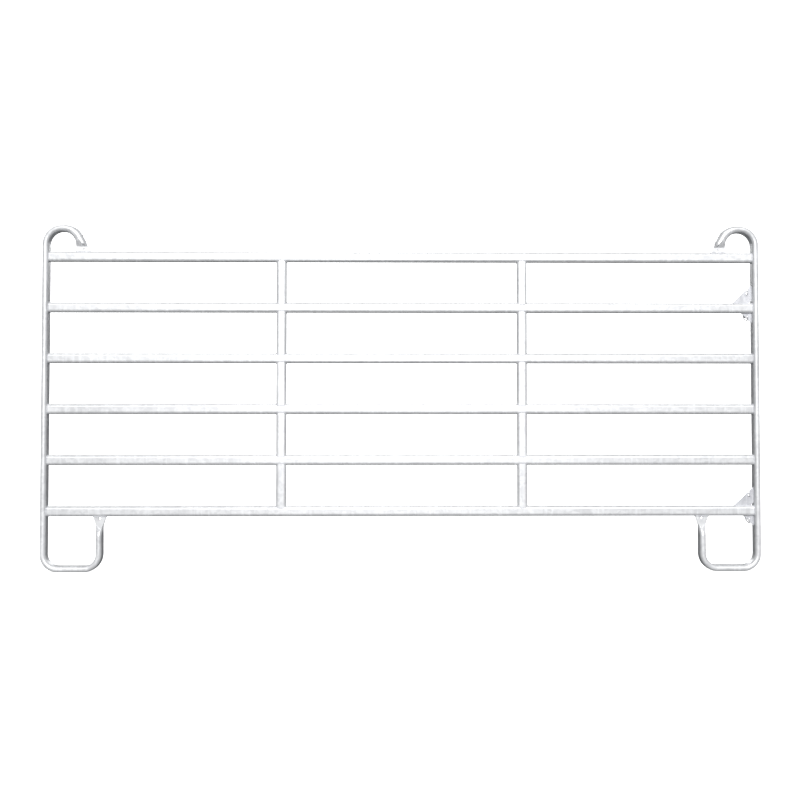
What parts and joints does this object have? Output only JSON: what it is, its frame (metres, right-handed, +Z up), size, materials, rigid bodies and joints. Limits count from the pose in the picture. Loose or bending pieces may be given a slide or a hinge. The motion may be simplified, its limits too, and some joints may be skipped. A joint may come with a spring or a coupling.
{
  "type": "livestock panel gate",
  "caption": "Free-standing livestock panel of flat-sided oval tubes, with looped feet, lifting loops on top and two short chain closures on one post.",
  "frame": {"origin": "on the ground, midway between the two posts and midway through the tubes", "axes": "+X along the panel towards the post with the chain closures, +Y through the panel to its back, +Z up"},
  "size_m": [3.53, 0.0618, 1.7],
  "materials": {
    "galvanised_tube": "satin",
    "galvanised_plate": "satin",
    "galvanised_chain": "satin"
  },
  "bodies": {
    "panel": {"frame_left": "galvanised_tube", "frame_right": "galvanised_tube", "rail_1": "galvanised_tube", "rail_2": "galvanised_tube", "rail_3": "galvanised_tube", "rail_4": "galvanised_tube", "rail_5": "galvanised_tube", "rail_6": "galvanised_tube", "strut_left_1": "galvanised_tube", "strut_left_2": "galvanised_tube", "strut_left_3": "galvanised_tube", "strut_left_4": "galvanised_tube", "strut_left_5": "galvanised_tube", "strut_right_1": "galvanised_tube", "strut_right_2": "galvanised_tube", "strut_right_3": "galvanised_tube", "strut_right_4": "galvanised_tube", "strut_right_5": "galvanised_tube", "upper_latch_plate": "galvanised_plate", "lower_latch_plate": "galvanised_plate", "upper_eye_plate": "galvanised_plate", "lower_eye_plate": "galvanised_plate"},
    "upper_link_1": {"upper_chain_link_1": "galvanised_chain"},
    "upper_link_2": {"upper_chain_link_2": "galvanised_chain"},
    "upper_link_3": {"upper_chain_link_3": "galvanised_chain"},
    "upper_link_4": {"upper_chain_link_4": "galvanised_chain"},
    "upper_link_5": {"upper_chain_link_5": "galvanised_chain"},
    "lower_link_1": {"lower_chain_link_1": "galvanised_chain"},
    "lower_link_2": {"lower_chain_link_2": "galvanised_chain"},
    "lower_link_3": {"lower_chain_link_3": "galvanised_chain"},
    "lower_link_4": {"lower_chain_link_4": "galvanised_chain"},
    "lower_link_5": {"lower_chain_link_5": "galvanised_chain"}
  },
  "joints": [
    {"name": "upper_chain_hinge_1", "type": "hinge", "parent": "panel", "child": "upper_link_1", "pos_m": [1.713, 0.0012, 1.2435], "axis": [1, 0, 0], "range_deg": [-105, 0]},
    {"name": "upper_chain_hinge_2", "type": "hinge", "parent": "upper_link_1", "child": "upper_link_2", "pos_m": [1.713, 0.02631, 1.25293], "axis": [1, 0, 0], "range_deg": [-75, 0]},
    {"name": "upper_chain_hinge_3", "type": "hinge", "parent": "upper_link_2", "child": "upper_link_3", "pos_m": [1.713, 0.02631, 1.29493], "axis": [1, 0, 0], "range_deg": [-45, 0]},
    {"name": "upper_chain_hinge_4", "type": "hinge", "parent": "upper_link_3", "child": "upper_link_4", "pos_m": [1.713, 0.02631, 1.32633], "axis": [1, 0, 0], "range_deg": [-90, 0]},
    {"name": "upper_chain_hinge_5", "type": "hinge", "parent": "upper_link_4", "child": "upper_link_5", "pos_m": [1.713, 0.02631, 1.36833], "axis": [1, 0, 0], "range_deg": [-120, 0]},
    {"name": "lower_chain_hinge_1", "type": "hinge", "parent": "panel", "child": "lower_link_1", "pos_m": [1.713, 0.0012, 0.2435], "axis": [1, 0, 0], "range_deg": [-105, 0]},
    {"name": "lower_chain_hinge_2", "type": "hinge", "parent": "lower_link_1", "child": "lower_link_2", "pos_m": [1.713, 0.02631, 0.25293], "axis": [1, 0, 0], "range_deg": [-75, 0]},
    {"name": "lower_chain_hinge_3", "type": "hinge", "parent": "lower_link_2", "child": "lower_link_3", "pos_m": [1.713, 0.02631, 0.29493], "axis": [1, 0, 0], "range_deg": [-45, 0]},
    {"name": "lower_chain_hinge_4", "type": "hinge", "parent": "lower_link_3", "child": "lower_link_4", "pos_m": [1.713, 0.02631, 0.32633], "axis": [1, 0, 0], "range_deg": [-90, 0]},
    {"name": "lower_chain_hinge_5", "type": "hinge", "parent": "lower_link_4", "child": "lower_link_5", "pos_m": [1.713, 0.02631, 0.36833], "axis": [1, 0, 0], "range_deg": [-120, 0]}
  ]
}
